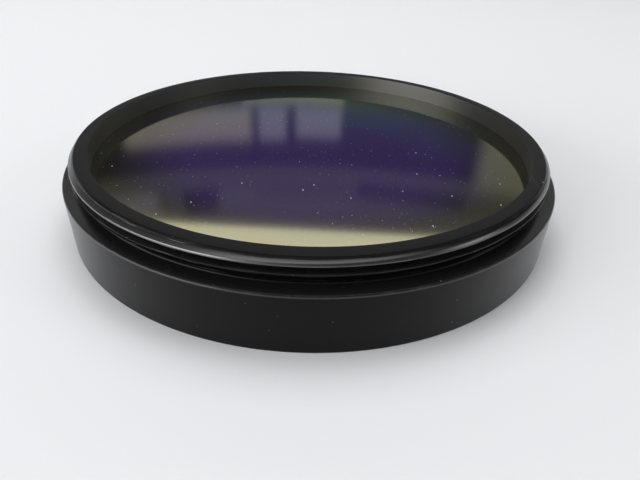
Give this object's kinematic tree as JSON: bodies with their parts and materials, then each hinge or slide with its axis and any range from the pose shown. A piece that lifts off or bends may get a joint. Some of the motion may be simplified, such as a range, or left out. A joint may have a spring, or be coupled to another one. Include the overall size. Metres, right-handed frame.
{
  "type": "optical bandpass filter",
  "caption": "Round optical bandpass filter: coated glass disc held by a slotted ring in a black turned cell, with a male and a female filter thread.",
  "frame": {"origin": "centre of the rim that the cell stands on, on the optical axis", "axes": "+Z along the optical axis, from the female thread towards the male thread"},
  "size_m": [0.0498, 0.0498, 0.0077],
  "materials": {
    "black_anodise": "satin black anodised, turned",
    "coated_glass": "polished, with a reflective interference coating"
  },
  "bodies": {
    "root": {"cell": "black_anodise", "filter_glass": "coated_glass", "retaining_ring": "black_anodise"}
  },
  "joints": []
}
